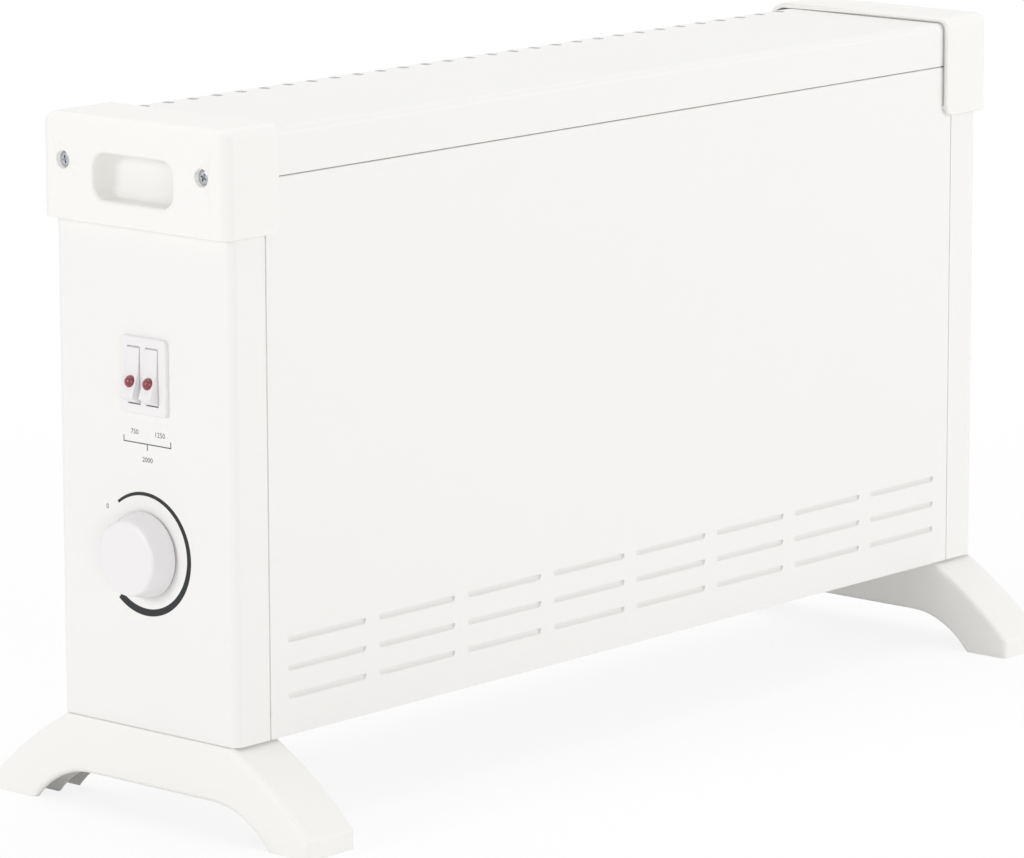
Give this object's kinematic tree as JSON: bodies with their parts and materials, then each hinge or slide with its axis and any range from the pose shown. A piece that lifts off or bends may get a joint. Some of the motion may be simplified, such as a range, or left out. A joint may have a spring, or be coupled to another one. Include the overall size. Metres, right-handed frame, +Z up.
{
  "type": "convector heater",
  "caption": "Free-standing convector heater: slim white steel casing on arched feet, with end grips, rocker switches and a thermostat knob on one end.",
  "frame": {"origin": "on the floor under the centre of the whole heater's bounding box, which is 4.25 mm towards the control end from the middle of the casing", "axes": "+X along the heater from the control end to the plain end, -Y the front, +Z up"},
  "size_m": [0.6086, 0.2132, 0.35],
  "materials": {
    "casing_paint": "satin white powder coat",
    "cap_plastic": "finely grained white moulding",
    "control_plastic": "smooth white moulding",
    "lens_red": "clear red moulding",
    "zinc_plated_steel": "zinc plated",
    "aluminium": "extruded",
    "ceramic": "glazed steatite",
    "brass": "bright",
    "nylon": "natural nylon"
  },
  "bodies": {
    "casing": {"front_panel": "casing_paint", "top_cover": "casing_paint", "rear_panel": "casing_paint", "base_panel": "casing_paint", "control_side_panel": "casing_paint", "plain_side_panel": "casing_paint", "control_end_cap": "cap_plastic", "plain_end_cap": "cap_plastic", "end_cap_screws": "zinc_plated_steel", "control_end_foot": "cap_plastic", "plain_end_foot": "cap_plastic", "foot_screws": "zinc_plated_steel", "rear_panel_screws": "zinc_plated_steel", "switch_housing": "control_plastic", "switch_terminals": "brass", "rocker_pin": "zinc_plated_steel", "thermostat_frame": "zinc_plated_steel", "thermostat_nut": "zinc_plated_steel", "thermostat_block": "ceramic", "thermostat_bimetal": "zinc_plated_steel", "thermostat_contacts": "brass", "control_partition": "zinc_plated_steel", "plain_partition": "zinc_plated_steel", "outlet_deflector": "zinc_plated_steel", "lower_element_fins": "aluminium", "upper_element_fins": "aluminium", "lower_element_rod": "zinc_plated_steel", "upper_element_rod": "zinc_plated_steel", "element_bushes": "ceramic", "overheat_cutout": "ceramic", "cutout_screws": "zinc_plated_steel", "cord_inlet_bush": "nylon", "terminal_block": "nylon", "terminal_clamps": "brass", "terminal_block_screws": "zinc_plated_steel"},
    "thermostat_dial": {"thermostat_knob": "control_plastic", "thermostat_shaft": "zinc_plated_steel"},
    "rear_switch": {"rear_rocker": "control_plastic", "rear_neon_lens": "lens_red"},
    "front_switch": {"front_rocker": "control_plastic", "front_neon_lens": "lens_red"}
  },
  "joints": [
    {"name": "thermostat_turn", "type": "hinge", "parent": "casing", "child": "thermostat_dial", "pos_m": [-0.28975, 0, 0.1356], "axis": [1, 0, 0], "range_deg": [0, 256]},
    {"name": "rear_rocker_press", "type": "hinge", "parent": "casing", "child": "rear_switch", "pos_m": [-0.28675, 0.00505, 0.2243], "axis": [0, -1, 0], "range_deg": [0, 24.7]},
    {"name": "front_rocker_press", "type": "hinge", "parent": "casing", "child": "front_switch", "pos_m": [-0.28675, -0.00705, 0.2243], "axis": [0, -1, 0], "range_deg": [0, 24.7]}
  ]
}
